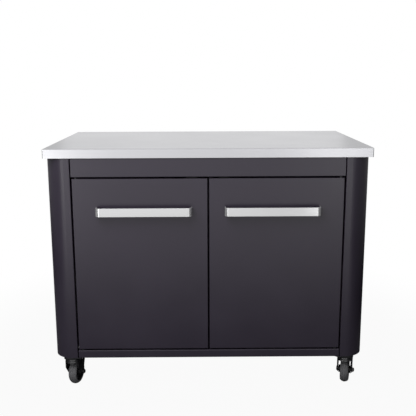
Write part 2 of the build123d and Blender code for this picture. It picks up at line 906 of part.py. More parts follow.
def door_nodes(side):
    """Every node of one door."""
    return {
        side + "_door_skin": make_door_skin(side),
        side + "_door_liner": make_door_liner(side),
        side + "_door_handle": make_door_handle(side),
        side + "_handle_screws": make_handle_screws(side),
        side + "_pivot_pins": make_pivot_pins(side),
        side + "_strike_plate": make_strike_plate(side),
    }


def all_nodes():
    """Every node of the cabinet by name."""
    nodes = {
        "worktop": make_worktop(),
        "worktop_stiffeners": make_worktop_stiffeners(),
        "left_side_panel": make_side_panel("left"),
        "right_side_panel": make_side_panel("right"),
        "front_fascia": make_front_fascia(),
        "bottom_rail": make_bottom_rail(),
        "floor_panel": make_floor_panel(),
        "top_rear_rail": make_top_rear_rail(),
        "back_panel": make_back_panel(),
        "hose_grommet": make_hose_grommet(),
        "centre_divider": make_centre_divider(),
        "right_shelf": make_right_shelf(),
        "shelf_clips": make_shelf_clips(),
        "magnet_catches": make_magnet_catches(),
        "pivot_bushes": make_pivot_bushes(),
        "panel_screws": make_panel_screws(),
        "worktop_screws": make_worktop_screws(),
    }
    for side in ("left", "right"):
        nodes.update(door_nodes(side))
    nodes.update(caster_nodes())
    return nodes


os.makedirs("parts", exist_ok=True)
for name, shape in all_nodes().items():
    if isinstance(shape, list):
        shape = Compound(children=[solid for piece in shape for solid in piece.solids()])
    export_step(shape, "parts/" + name + ".step")
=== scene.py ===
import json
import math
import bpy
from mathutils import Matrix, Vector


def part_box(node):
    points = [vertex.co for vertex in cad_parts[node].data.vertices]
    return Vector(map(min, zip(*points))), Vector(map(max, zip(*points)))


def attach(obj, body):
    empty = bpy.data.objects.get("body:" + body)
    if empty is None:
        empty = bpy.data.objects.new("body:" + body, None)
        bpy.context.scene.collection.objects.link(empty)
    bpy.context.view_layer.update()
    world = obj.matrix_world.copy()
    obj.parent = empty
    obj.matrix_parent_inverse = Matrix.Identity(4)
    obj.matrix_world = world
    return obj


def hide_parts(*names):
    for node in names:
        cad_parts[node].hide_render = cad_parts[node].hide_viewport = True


bl_info = {
    "name": "Outdoor Kitchen Cabinet",
    "version": (1, 0, 0),
    "blender": (4, 5, 0),
    "location": "3D View > Sidebar > Kitchen",
    "description": "Dresses the outdoor kitchen cabinet: finishes, tyres, fasteners, studio and camera",
    "category": "Object",
}

import bpy
import bmesh
from mathutils import Matrix, Vector

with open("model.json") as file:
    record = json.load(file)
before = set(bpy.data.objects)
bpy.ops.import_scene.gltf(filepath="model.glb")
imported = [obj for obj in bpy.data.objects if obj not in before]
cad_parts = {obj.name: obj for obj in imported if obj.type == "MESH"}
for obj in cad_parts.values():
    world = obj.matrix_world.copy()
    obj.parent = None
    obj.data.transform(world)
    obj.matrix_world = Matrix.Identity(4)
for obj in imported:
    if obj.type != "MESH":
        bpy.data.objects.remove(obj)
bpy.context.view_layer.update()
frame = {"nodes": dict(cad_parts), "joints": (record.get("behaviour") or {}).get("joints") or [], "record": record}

MM = 0.001
SLOT_OF_NODE = {part["node"]: part["material_slot"] for part in frame["record"]["subparts"]}
BODIES = frame["record"]["behaviour"]["bodies"]
BODY_OF_NODE = {node: body for body, nodes in BODIES.items() for node in nodes}
JOINTS = {joint["name"]: joint for joint in frame["joints"]}
CASTERS = ("front_left", "front_right", "rear_left", "rear_right")
BRAKED = ("front_left", "front_right")
DOORS = ("left", "right")

# Points closer than WELD become one, what is within TOUCH of a line lies on it, and HAIR counts as nothing.
WELD = 0.005 * MM
TOUCH = 0.01 * MM
HAIR = 0.001 * MM
# Faces that meet at a sharper angle than this keep a hard edge between them.
SHARP_ANGLE = math.radians(35)
# How many straight steps stand for a round.
SCREW_STEPS = 24
DISC_STEPS = 48
BAR_STEPS = 32
BEND_STEPS = 5
FORK_STEPS = 24
RING_STEPS = 48
CROWN_STEPS = 20
TYRE_STEPS = 96


def linear(code):
    """The linear colour of an sRGB hex value."""
    channels = [int(code[i : i + 2], 16) / 255 for i in (1, 3, 5)]
    return tuple(c / 12.92 if c <= 0.04045 else ((c + 0.055) / 1.055) ** 2.4 for c in channels)


# Settings that a user would change


def size_setting(name, description, millimetres):
    """A length in the sidebar."""
    return bpy.props.FloatProperty(
        name=name, description=description, default=millimetres * MM, min=0.0, unit="LENGTH", precision=4
    )


def colour_setting(name, description, code):
    """A colour in the sidebar."""
    return bpy.props.FloatVectorProperty(
        name=name, description=description, default=linear(code), min=0.0, max=1.0, size=3, subtype="COLOR"
    )


class KitchenColours(bpy.types.PropertyGroup):
    """Base colours of the finishes"""

    worktop: colour_setting("Worktop", "Ground stainless sheet of the worktop", "#BEBEC1")
    handle: colour_setting("Handles", "Satin stainless strap of the handles", "#D3D3D4")
    coat: colour_setting("Powder coat", "Black powder coat of the cabinet and doors", "#342F3A")
    zinc: colour_setting("Zinc", "Zinc plated screws, kingpins, ball rings and stiffeners", "#B9BABD")
    nylon: colour_setting("Nylon", "Moulded bushes and catches", "#1E1E20")
    grommet: colour_setting("Grommet", "Rubber ring and disc of the hose port", "#1C1C1C")
    caster: colour_setting("Caster steel", "Black plated forks, plates and axles", "#17171A")
    core: colour_setting("Wheel core", "Moulded wheel centres", "#1D1D1F")
    tyre: colour_setting("Tyre", "Solid rubber of the tyres", "#68686A")


class KitchenSizes(bpy.types.PropertyGroup):
    """Sizes of the pieces that are modelled here"""

    groove_depth: size_setting("Groove depth", "Depth of the two grooves round each tyre", 1.0)
    groove_lip: size_setting("Groove lip", "Slope at each side of a tyre groove", 0.5)
    screw_head: size_setting("Screw head", "Height of a pan head", 2.6)
    screw_shank: size_setting("Screw shank", "Radius of a screw below its head", 2.4)
    recess_depth: size_setting("Recess depth", "Depth of the cross recess in a screw head", 1.3)
    diaphragm_sheet: size_setting("Diaphragm", "Thickness of the rubber disc in the hose port", 1.0)
    tear_line: size_setting("Tear line", "Width of the grooves between the disc's wedges", 1.2)
    fork_top: size_setting("Fork top", "Height of a fork's bridge above the floor", 115.0)
    fork_lip: size_setting("Fork lip", "Height of the opening in a fork's round front", 106.0)
    fork_shoulder: size_setting("Fork shoulder", "Height where a fork leg starts to taper", 82.0)
    fork_rear: size_setting("Fork rear", "Reach of a fork's bridge behind its kingpin", 26.0)
    fork_sheet: size_setting("Fork sheet", "Thickness of the pressed forks", 3.0)
    fork_bend: size_setting("Fork bend", "Outer radius where a fork's bridge turns down", 8.0)
    nut_collar: size_setting("Nut collar", "Height of the locking collar on an axle nut", 1.7)
    hexagon_chamfer: size_setting("Hexagon chamfer", "Chamfer at the ends of a hexagon head or nut", 0.7)
    rib_width: size_setting("Rib width", "Length of the ribs across a brake pedal", 33.0)
    rib_height: size_setting("Rib height", "Height of the ribs on a brake pedal", 0.8)
    rib_pitch: size_setting("Rib pitch", "Distance from one pedal rib to the next", 5.0)


# Node trees


def opaque(colour):
    """A colour with full alpha, as a shader socket takes it."""
    return (*colour, 1.0)


def shaded(colour, factor):
    """A lighter or darker shade of a colour, with full alpha."""
    return opaque([min(1.0, c * factor) for c in colour])


def add_node(tree, kind, settings=None, inputs=None):
    """Adds a node, sets its properties, and fills or links its inputs by name or index."""
    node = tree.nodes.new(kind)
    for name, value in (settings or {}).items():
        setattr(node, name, value)
    for key, value in (inputs or {}).items():
        if isinstance(value, bpy.types.NodeSocket):
            tree.links.new(value, node.inputs[key])
        else:
            node.inputs[key].default_value = value
    return node


def per_metre(millimetres):
    """The texture scale at which one cell of a pattern has this size."""
    return 1000 / millimetres


def empty_material(name):
    """A material with an empty node tree, its output node and its Object coordinates."""
    material = bpy.data.materials.new(name)
    material.use_nodes = True
    tree = material.node_tree
    tree.nodes.clear()
    output = add_node(tree, "ShaderNodeOutputMaterial")
    place = add_node(tree, "ShaderNodeTexCoord").outputs["Object"]
    return material, tree, output, place


# Finishes

# Size of the slow clouds in the gloss of ground steel, in millimetres.
STEEL_CLOUD = 260
# How much of the handle's strap mirrors like bare metal; the rest scatters.
HANDLE_METAL = 0.6
# How far the feet of a handle stand out from the door; there the strap is painted the coat's black, as painted
# shade.
HANDLE_SHADED_FOOT = 4.3 * MM


def brushed_stainless(name, colour, streak, length, rough, metal):
    """Stainless ground with a belt along X: streaks, in millimetres, that blur reflections across them."""
    material, tree, output, place = empty_material(name)
    stretch = (per_metre(length), per_metre(streak), per_metre(streak))
    grain = add_node(tree, "ShaderNodeMapping", inputs={"Vector": place, "Scale": stretch})
    streaks = add_node(
        tree,
        "ShaderNodeTexNoise",
        inputs={"Vector": grain.outputs[0], "Scale": 1.0, "Detail": 4.0, "Roughness": 0.6},
    )
    cloud = add_node(
        tree, "ShaderNodeTexNoise", inputs={"Vector": place, "Scale": per_metre(STEEL_CLOUD), "Detail": 2.0}
    )
    shade = add_node(
        tree,
        "ShaderNodeMix",
        {"data_type": "RGBA"},
        {"Factor": streaks.outputs["Fac"], "A": shaded(colour, 0.95), "B": shaded(colour, 1.05)},
    )
    mixed = add_node(
        tree, "ShaderNodeMath", {"operation": "ADD"}, {0: streaks.outputs["Fac"], 1: cloud.outputs["Fac"]}
    )
    gloss = add_node(
        tree,
        "ShaderNodeMapRange",
        inputs={
            "Value": mixed.outputs[0],
            "From Min": 0.6,
            "From Max": 1.4,
            "To Min": rough - 0.05,
            "To Max": rough + 0.06,
        },
    )
    bump = add_node(
        tree,
        "ShaderNodeBump",
        inputs={"Strength": 0.25, "Distance": 0.05 * MM, "Height": streaks.outputs["Fac"]},
    )
    shader = add_node(
        tree,
        "ShaderNodeBsdfPrincipled",
        inputs={
            "Base Color": shade.outputs["Result"],
            "Metallic": metal,
            "Roughness": gloss.outputs["Result"],
            "Normal": bump.outputs[0],
        },
    )
    tree.links.new(shader.outputs[0], output.inputs["Surface"])
    return material


def mottled(name, colour, grit, patch, rough, metal, specular, relief):
    """A finish with a fine grit in its relief and slow patches in its shade and gloss, in millimetres."""
    material, tree, output, place = empty_material(name)
    grain = add_node(
        tree, "ShaderNodeTexNoise", inputs={"Vector": place, "Scale": per_metre(grit), "Detail": 2.0}
    )
    cloud = add_node(
        tree, "ShaderNodeTexNoise", inputs={"Vector": place, "Scale": per_metre(patch), "Detail": 3.0}
    )
    shade = add_node(
        tree,
        "ShaderNodeMix",
        {"data_type": "RGBA"},
        {"Factor": cloud.outputs["Fac"], "A": shaded(colour, 0.88), "B": shaded(colour, 1.12)},
    )
    gloss = add_node(
        tree,
        "ShaderNodeMapRange",
        inputs={
            "Value": cloud.outputs["Fac"],
            "From Min": 0.3,
            "From Max": 0.7,
            "To Min": rough[0],
            "To Max": rough[1],
        },
    )
    bump = add_node(
        tree,
        "ShaderNodeBump",
        inputs={"Strength": 0.3, "Distance": relief * MM, "Height": grain.outputs["Fac"]},
    )
    shader = add_node(
        tree,
        "ShaderNodeBsdfPrincipled",
        inputs={
            "Base Color": shade.outputs["Result"],
            "Metallic": metal,
            "Roughness": gloss.outputs["Result"],
            "Specular IOR Level": specular,
            "Normal": bump.outputs[0],
        },
    )
    tree.links.new(shader.outputs[0], output.inputs["Surface"])
    return material


def make_worktop_steel(name, colours):
    """Belt ground sheet: soft, even reflections. Its streaks are about four times too wide, to show."""
    return brushed_stainless(name, colours.worktop, streak=1.6, length=160, rough=0.32, metal=1.0)


def make_handle_steel(name, colours):
    """Satin strap: the lamps draw bands at its bends. Its feet are painted the coat's black and lose their metal:
    painted shade, which hides them against the door.
    """
    material = brushed_stainless(
        name, colours.handle, streak=0.8, length=90, rough=0.15, metal=HANDLE_METAL
    )
    tree = material.node_tree
    shader = tree.nodes["Principled BSDF"]
    bare = shader.inputs["Base Color"].links[0].from_socket
    place = add_node(tree, "ShaderNodeTexCoord").outputs["Object"]
    depth = add_node(tree, "ShaderNodeSeparateXYZ", inputs={0: place}).outputs["Y"]
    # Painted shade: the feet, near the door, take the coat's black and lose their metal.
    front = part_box("left_door_handle")[1].y - HANDLE_SHADED_FOOT
    foot = add_node(tree, "ShaderNodeMath", {"operation": "GREATER_THAN"}, {0: depth, 1: front}).outputs[0]
    painted_shade = add_node(
        tree, "ShaderNodeMix", {"data_type": "RGBA"}, {"Factor": foot, "A": bare, "B": opaque(colours.coat)}
    )
    metal = add_node(
        tree, "ShaderNodeMapRange", inputs={"Value": foot, "To Min": HANDLE_METAL, "To Max": 0.0}
    )
    tree.links.new(painted_shade.outputs["Result"], shader.inputs["Base Color"])
    tree.links.new(metal.outputs["Result"], shader.inputs["Metallic"])
    return material


def make_black_coat(name, colours):
    """Polyester powder coat: satin, with a faint orange peel that is drawn coarse enough to show."""
    return mottled(
        name,
        colours.coat,
        grit=2.5,
        patch=180,
        rough=(0.28, 0.34),
        metal=0.0,
        specular=0.42,
        relief=0.02,
    )


def make_zinc(name, colours):
    """Electroplated zinc on steel: bright, slightly cloudy, a little blue."""
    return mottled(
        name,
        colours.zinc,
        grit=1.0,
        patch=8,
        rough=(0.28, 0.42),
        metal=1.0,
        specular=0.5,
        relief=0.02,
    )


def make_nylon(name, colours):
    """Moulded nylon: dull black with the fine grain of the mould."""
    return mottled(
        name,
        colours.nylon,
        grit=0.8,
        patch=12,
        rough=(0.45, 0.55),
        metal=0.0,
        specular=0.4,
        relief=0.05,
    )


def make_grommet_rubber(name, colours):
    """Moulded soft rubber: almost no gloss, a little bloom."""
    return mottled(
        name,
        colours.grommet,
        grit=1.2,
        patch=15,
        rough=(0.68, 0.8),
        metal=0.0,
        specular=0.3,
        relief=0.06,
    )


def make_caster_steel(name, colours):
    """Pressed steel, plated black: semi-gloss with soft stains."""
    return mottled(
        name,
        colours.caster,
        grit=1.5,
        patch=10,
        rough=(0.26, 0.4),
        metal=0.0,
        specular=1.0,
        relief=0.03,
    )


def make_core_plastic(name, colours):
    """Moulded polypropylene: waxy, satin black."""
    return mottled(
        name,
        colours.core,
        grit=1.0,
        patch=14,
        rough=(0.4, 0.52),
        metal=0.0,
        specular=0.45,
        relief=0.05,
    )


def make_tyre_rubber(name, colours):
    """Solid moulded rubber: dark grey, dull, scuffed lighter in patches where it has rolled."""
    return mottled(
        name,
        colours.tyre,
        grit=1.4,
        patch=9,
        rough=(0.55, 0.72),
        metal=0.0,
        specular=0.35,
        relief=0.08,
    )


FINISHES = {
    "stainless_top": ("stainless_belt_ground", make_worktop_steel),
    "handle_steel": ("stainless_strap_satin", make_handle_steel),
    "black_coat": ("steel_powder_coated_black", make_black_coat),
    "zinc_steel": ("steel_zinc_plated", make_zinc),
    "black_nylon": ("nylon_moulded", make_nylon),
    "grommet_rubber": ("grommet_rubber_moulded", make_grommet_rubber),
    "caster_black": ("steel_black_plated", make_caster_steel),
    "wheel_plastic": ("polypropylene_moulded", make_core_plastic),
    "tyre_rubber": ("tyre_rubber_moulded", make_tyre_rubber),
}


def finish(slot):
    """The finish of a slot, made when the first piece asks for it."""
    name, make = FINISHES[slot]
    return bpy.data.materials.get(name) or make(name, bpy.context.scene.kitchen_colours)


def dress(*nodes):
    """Gives CAD nodes the finish of their slots."""
    for name in nodes:
        piece = frame["nodes"][name]
        piece.data.materials.clear()
        piece.data.materials.append(finish(SLOT_OF_NODE[name]))


# New pieces

# A pan head, in shares of its radius and its height.
PAN_RIM = 0.45
PAN_SHOULDER = (0.9, 0.78)
PAN_TOP = 0.6
# A cross recess, in shares of the head's radius: its reach, where its arms lie, and the slope of its walls.
CROSS_REACH = 0.5
CROSS_ARM = 0.1
CROSS_SLOPE = 0.05
# Degrees by which each screw stands turned from the one before.
SCREW_TURN = 37
# Wedges of the hose port's disc, and how far they rise, in shares of its thickness.
WEDGES = 8
WEDGE_RISE = 0.4
# Steps of a fork's round front that each leg keeps as its flange.
FLANGE_STEPS = 3
# The round of a fork leg's toe, in shares of the toe's radius.
TOE_ROUND = 0.7
# The lower race of a caster and the dust lip round its balls.
RACE_BORE = 17 * MM
BALL_RADIUS = 26 * MM
LIP_GAP = 0.2 * MM
LIP_EDGE = 1 * MM
LIP_WALL = 2 * MM
LIP_SLOPE = 1.5 * MM
SWIVEL_GAP = 0.3 * MM
# The ears that carry a brake pedal: how they lie in the leg, their two rounds, and how high they start.
EAR_INSET = 0.3 * MM
EAR_SHEET = 3 * MM
EAR_ROUND = 7 * MM
EAR_ROOT = 12 * MM
EAR_RISE = 24 * MM
# The thread and the lock collar of an axle bolt, in shares of the hexagon's radius.
BOLT_SHARE = 0.58
COLLAR_SHARE = 0.82
# The ribs of a brake pedal: their number, their start behind its pin, and the height and slope of its top.
RIB_COUNT = 5
RIB_START = 22 * MM
PEDAL_TOP = 6 * MM
PEDAL_SLOPE = 8 / 46
# How much of its pitch a rib fills, and how much of its height is rounded.
RIB_SHARE = 0.45
RIB_ROUND = 0.4
# How far from the middle of a tyre groove its faces reach.
GROOVE_REACH = 0.9 * MM


def add_piece(name, shape, body, slot, *nodes):
    """Turns a bmesh into a piece that rides on a body, in the place of CAD nodes if any are named."""
    bmesh.ops.remove_doubles(shape, verts=shape.verts, dist=WELD)
    bmesh.ops.recalc_face_normals(shape, faces=shape.faces)
    mesh = bpy.data.meshes.new(name)
    shape.to_mesh(mesh)
    shape.free()
    mesh.shade_smooth()
    mesh.set_sharp_from_angle(angle=SHARP_ANGLE)
    mesh.materials.append(finish(slot))
    piece = bpy.data.objects.new(name, mesh)
    bpy.context.scene.collection.objects.link(piece)
    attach(piece, body)
    if nodes:
        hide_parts(*nodes)


def solid_boxes(node):
    """The lowest and highest corners of each separate solid in a CAD node."""
    shape = bmesh.new()
    shape.from_mesh(frame["nodes"][node].data)
    bmesh.ops.remove_doubles(shape, verts=shape.verts, dist=HAIR)
    boxes = []
    unseen = dict.fromkeys(shape.verts)
    while unseen:
        solid = []
        reached = [unseen.popitem()[0]]
        while reached:
            vert = reached.pop()
            solid.append(vert.co.copy())
            for edge in vert.link_edges:
                other = edge.other_vert(vert)
                if other in unseen:
                    del unseen[other]
                    reached.append(other)
        low = Vector([min(point[axis] for point in solid) for axis in range(3)])
        high = Vector([max(point[axis] for point in solid) for axis in range(3)])
        boxes.append((low, high))
    shape.free()
    return sorted(boxes, key=lambda box: tuple(box[0]))


def make_screw(sizes, head, length):
    """A pan head screw with a cross recess, its seat at the origin and its head up."""
    height = sizes.screw_head
    shape = bmesh.new()
    outline = [
        (0, -length),
        (sizes.screw_shank, -length),
        (sizes.screw_shank, 0),
        (head, 0),
        (head, PAN_RIM * height),
        (PAN_SHOULDER[0] * head, PAN_SHOULDER[1] * height),
        (PAN_TOP * head, height),
    ]
    verts = [shape.verts.new((x, 0, z)) for x, z in outline]
    for first, second in zip(verts, verts[1:]):
        shape.edges.new((first, second))
    bmesh.ops.spin(
        shape,
        geom=shape.verts[:] + shape.edges[:],
        cent=(0, 0, 0),
        axis=(0, 0, 1),
        angle=2 * math.pi,
        steps=SCREW_STEPS,
        use_merge=True,
    )
    bmesh.ops.remove_doubles(shape, verts=shape.verts, dist=WELD)
    rim = [edge for edge in shape.edges if edge.is_boundary]
    lift = Matrix.Translation((0, 0, height))
    grid = bmesh.ops.create_grid(shape, x_segments=3, y_segments=3, size=CROSS_REACH * head, matrix=lift)
    squares = [face for face in shape.faces if face.verts[0] in grid["verts"]]
    cross = [face for face in squares if min(map(abs, face.calc_center_median().xy)) < CROSS_ARM * head]
    corners = [face for face in squares if face not in cross]
    bmesh.ops.delete(shape, geom=corners, context="FACES")
    bridged = rim + [edge for face in cross for edge in face.edges if edge.is_boundary]
    bmesh.ops.bridge_loops(shape, edges=bridged)
    bmesh.ops.recalc_face_normals(shape, faces=shape.faces)
    bmesh.ops.inset_region(shape, faces=cross, thickness=CROSS_SLOPE * head, depth=-sizes.recess_depth)
    return shape


def add_screws(node, out):
    """Cross recessed screws in the places of a CAD node's screws, with their heads facing out."""
    sizes = bpy.context.scene.kitchen_sizes
    out = Vector(out)
    row = bmesh.new()
    for i, (low, high) in enumerate(solid_boxes(node)):
        span = high - low
        length = abs(span.dot(out))
        head = min(span[axis] for axis in range(3) if out[axis] == 0) / 2
        single = bpy.data.meshes.new("screw")
        shape = make_screw(sizes, head, length - sizes.screw_head)
        shape.to_mesh(single)
        shape.free()
        seat = (low + high) / 2 + out * (length / 2 - sizes.screw_head)
        upright = Vector((0, 0, 1)).rotation_difference(out).to_matrix().to_4x4()
        place = Matrix.Translation(seat) @ upright @ Matrix.Rotation(math.radians(SCREW_TURN * i), 4, "Z")
        known = len(row.verts)
        row.from_mesh(single)
        bpy.data.meshes.remove(single)
        bmesh.ops.transform(row, matrix=place, verts=row.verts[known:])
    add_piece(node + "_cross_recessed", row, BODY_OF_NODE[node], SLOT_OF_NODE[node], node)


def axle_frame(joint):
    """The place of a joint, with X along its axis and Z up."""
    along = Vector(JOINTS[joint]["axis"])
    turn = Matrix.Rotation(math.atan2(along.y, along.x), 4, "Z")
    return Matrix.Translation(JOINTS[joint]["pos_m"]) @ turn


class KITCHEN_OT_worktop(bpy.types.Operator):
    """Gives the worktop its ground stainless finish"""

    bl_idname = "kitchen.worktop"
    bl_label = "Worktop"

    def execute(self, context):
        dress("worktop", "worktop_stiffeners")
        return {"FINISHED"}


class KITCHEN_OT_shell(bpy.types.Operator):
    """Coats the side panels, fascia, rails, floor and back"""

    bl_idname = "kitchen.shell"
    bl_label = "Cabinet shell"

    def execute(self, context):
        dress("left_side_panel", "right_side_panel", "front_fascia", "bottom_rail", "floor_panel")
        dress("top_rear_rail", "back_panel")
        return {"FINISHED"}


def make_diaphragm(sizes, port):
    """A thin rubber disc across the hose port, with tear lines between its wedges."""
    radius = port["dims"]["r_mm"] * MM
    shape = bmesh.new()
    bmesh.ops.create_circle(shape, cap_ends=True, cap_tris=True, segments=DISC_STEPS, radius=radius)
    bmesh.ops.recalc_face_normals(shape, faces=shape.faces)
    sector = 2 * math.pi / WEDGES
    wedges = [[] for _ in range(WEDGES)]
    for face in shape.faces:
        middle = face.calc_center_median()
        wedges[math.floor(math.atan2(middle.y, middle.x) / sector) % WEDGES].append(face)
    for wedge in wedges:
        bmesh.ops.inset_region(
            shape,
            faces=wedge,
            thickness=sizes.tear_line / 2,
            depth=WEDGE_RISE * sizes.diaphragm_sheet,
            use_boundary=True,
        )
    bmesh.ops.solidify(shape, geom=shape.faces, thickness=sizes.diaphragm_sheet)
    place = Matrix.Translation(port["pos_m"]) @ Matrix.Rotation(-math.pi / 2, 4, "X")
    bmesh.ops.transform(shape, matrix=place, verts=shape.verts)
    return shape


class KITCHEN_OT_hose_port(bpy.types.Operator):
    """Closes the hose port with a disc that a hose can be pushed through"""

    bl_idname = "kitchen.hose_port"
    bl_label = "Hose port"

    def execute(self, context):
        dress("hose_grommet")
        port = next(mount for mount in frame["record"]["mounts"] if mount["name"] == "hose_port")
        shape = make_diaphragm(context.scene.kitchen_sizes, port)
        add_piece("hose_port_diaphragm", shape, "cabinet", "grommet_rubber")
        return {"FINISHED"}


class KITCHEN_OT_inside(bpy.types.Operator):
    """Finishes the divider, the shelf and the catches"""

    bl_idname = "kitchen.inside"
    bl_label = "Inside"

    def execute(self, context):
        dress("centre_divider", "right_shelf", "shelf_clips", "magnet_catches", "pivot_bushes")
        return {"FINISHED"}


class KITCHEN_OT_doors(bpy.types.Operator):
    """Coats both doors and finishes their fittings"""

    bl_idname = "kitchen.doors"
    bl_label = "Doors"

    def execute(self, context):
        for side in DOORS:
            dress(side + "_door_skin", side + "_door_liner", side + "_door_handle")
            dress(side + "_pivot_pins", side + "_strike_plate")
        return {"FINISHED"}


class KITCHEN_OT_screws(bpy.types.Operator):
    """Puts cross recessed screws in the back, the worktop and the handles"""

    bl_idname = "kitchen.screws"
    bl_label = "Screws"

    def execute(self, context):
        add_screws("panel_screws", (0, 1, 0))
        add_screws("worktop_screws", (0, 0, -1))
        for side in DOORS:
            add_screws(side + "_handle_screws", (0, 1, 0))
        return {"FINISHED"}


def cut(shape, faces, y, z, dy, dz):
    """Cuts from some faces what lies to the right of a line in the side view."""
    edges = dict.fromkeys(edge for face in faces for edge in face.edges)
    verts = dict.fromkeys(vert for face in faces for vert in face.verts)
    bmesh.ops.bisect_plane(
        shape,
        geom=[*verts, *edges, *faces],
        dist=HAIR,
        plane_co=(0, y, z),
        plane_no=(0, dz, -dy),
        clear_outer=True,
    )


def tangent(y, z, hub_y, hub_z, radius, side):
    """The direction from a point in the side view to one side of a circle."""
    ahead = math.atan2(hub_z - z, hub_y - y)
    turn = math.asin(radius / math.dist((y, z), (hub_y, hub_z)))
    return math.cos(ahead + side * turn), math.sin(ahead + side * turn)


def on_line(edge, y):
    """Whether both ends of an edge lie at a given Y."""
    return all(abs(vert.co.y - y) < TOUCH for vert in edge.verts)


def make_fork_shell(sizes, half, trail, hub, toe):
    """The pressed fork: a bridge with a round front that turns down into two tapering legs with flanges."""
    top = sizes.fork_top
    bend = sizes.fork_bend
    shape = bmesh.new()
    start = shape.verts.new((half, 0, top - bend))
    bmesh.ops.spin(
        shape,
        geom=[start],
        cent=(half - bend, 0, top - bend),
        axis=(0, 1, 0),
        angle=-math.pi / 2,
        steps=BEND_STEPS,
    )
    arc = sorted(shape.verts, key=lambda vert: vert.co.z)
    foot = shape.verts.new((half, 0, hub - toe))
    middle = shape.verts.new((0, 0, top))
    shape.edges.new((foot, arc[0]))
    shape.edges.new((arc[-1], middle))
    bmesh.ops.spin(
        shape,
        geom=shape.verts[:] + shape.edges[:],
        cent=(0, 0, 0),
        axis=(0, 0, 1),
        angle=-math.pi,
        steps=FORK_STEPS,
    )
    bmesh.ops.remove_doubles(shape, verts=shape.verts, dist=WELD)
    seam = [edge for edge in shape.edges if edge.is_boundary and on_line(edge, 0)]
    legs = bmesh.ops.extrude_edge_only(shape, edges=seam)["geom"]
    verts = [part for part in legs if isinstance(part, bmesh.types.BMVert)]
    bmesh.ops.translate(shape, vec=(0, trail + 2 * toe, 0), verts=verts)
    flange = -half * math.sin(math.pi * FLANGE_STEPS / FORK_STEPS)
    bmesh.ops.split_edges(shape, edges=[edge for edge in shape.edges if on_line(edge, flange)])
    front = [face for face in shape.faces if face.calc_center_median().y < flange]
    cut(shape, front, 0, sizes.fork_lip, half, 0)
    sides = [face for face in shape.faces if face.calc_center_median().y > flange]
    dy, dz = tangent(flange, sizes.fork_shoulder, trail, hub, toe, -1)
    cut(shape, sides, flange, sizes.fork_shoulder, dy, dz)
    sides = [face for face in shape.faces if face.calc_center_median().y > flange]
    dy, dz = tangent(sizes.fork_rear, top, trail, hub, toe, 1)
    cut(shape, sides, sizes.fork_rear, top, -dy, -dz)
    bmesh.ops.remove_doubles(shape, verts=shape.verts, dist=WELD)
    corners = [vert for vert in shape.verts if vert.co.z < hub - toe + TOUCH]
    bmesh.ops.bevel(
        shape,
        geom=corners,
        offset=TOE_ROUND * toe,
        segments=BEND_STEPS,
        profile=0.5,
        affect="VERTICES",
        material=-1,
    )
    bmesh.ops.recalc_face_normals(shape, faces=shape.faces)
    bmesh.ops.solidify(shape, geom=shape.faces, thickness=sizes.fork_sheet)
    return shape


def add_ring(shape, outline):
    """A ring about the kingpin from its closed section, drawn as (radius, height)."""
    verts = [shape.verts.new((x, 0, z)) for x, z in outline]
    edges = [shape.edges.new((first, second)) for first, second in zip(verts, verts[1:] + verts[:1])]
    bmesh.ops.spin(
        shape,
        geom=verts + edges,
        cent=(0, 0, 0),
        axis=(0, 0, 1),
        angle=2 * math.pi,
        steps=RING_STEPS,
        use_merge=True,
    )


def add_ear(shape, side, half, pin_y, pin_z, trail, hub):
    """The ear of a fork leg that carries the brake pedal's pin, just inside the leg's outer face."""
    outer = side * (half - EAR_INSET)
    inner = side * (half - EAR_INSET - EAR_SHEET)
    verts = []
    for radius, y, z in ((EAR_ROUND, pin_y, pin_z), (EAR_ROOT, trail, hub + EAR_RISE)):
        for x in (inner, outer):
            place = Matrix.Translation((x, y, z)) @ Matrix.Rotation(math.pi / 2, 4, "Y")
            verts += bmesh.ops.create_circle(shape, segments=BAR_STEPS, radius=radius, matrix=place)["verts"]
    bmesh.ops.convex_hull(shape, input=verts)


def make_fork(sizes, name):
    """A caster's fork with its lower race, a dust lip round the balls and, if it has a brake, two ears."""
    kingpin = Vector(JOINTS[name + "_swivel"]["pos_m"])
    roll = JOINTS[name + "_roll"]
    hub = roll["pos_m"][2]
    trail = (Vector(roll["pos_m"]) - kingpin).xy.length
    low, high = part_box("rear_left_fork")
    half = (high.x - low.x) / 2
    shape = make_fork_shell(sizes, half, trail, hub, hub - low.z)
    ring_low, ring_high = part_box("caster_ball_rings")
    bottom = sizes.fork_top - sizes.fork_sheet
    race = ring_low.z - SWIVEL_GAP
    lip = ring_high.z - SWIVEL_GAP
    outline = [
        (RACE_BORE, bottom),
        (BALL_RADIUS + LIP_WALL, bottom),
        (BALL_RADIUS + LIP_WALL, lip - LIP_SLOPE),
        (BALL_RADIUS + LIP_EDGE, lip),
        (BALL_RADIUS + LIP_GAP, lip),
        (BALL_RADIUS + LIP_GAP, race),
        (RACE_BORE, race),
    ]
    add_ring(shape, outline)
    if name in BRAKED:
        pin = Vector(JOINTS[name + "_brake_press"]["pos_m"])
        for side in (-1, 1):
            add_ear(shape, side, half, (pin - kingpin).xy.length, pin.z, trail, hub)
    turn = axle_frame(name + "_roll").to_3x3().to_4x4()
    bmesh.ops.transform(shape, matrix=Matrix.Translation((*kingpin.xy, 0)) @ turn, verts=shape.verts)
    return shape


def add_bar(shape, sides, radius, low, high, chamfer):
    """A bar along X between two limits, round or with flats, and chamfered at both ends."""
    place = Matrix.Translation(((low + high) / 2, 0, 0)) @ Matrix.Rotation(math.pi / 2, 4, "Y")
    verts = bmesh.ops.create_cone(
        shape, cap_ends=True, segments=sides, radius1=radius, radius2=radius, depth=high - low, matrix=place
    )["verts"]
    edges = [edge for edge in shape.edges if edge.verts[0] in verts]
    ends = [edge for edge in edges if abs(edge.verts[0].co.x - edge.verts[1].co.x) < HAIR]
    bmesh.ops.bevel(shape, geom=ends, offset=chamfer, segments=1, profile=0.5, affect="EDGES", material=-1)


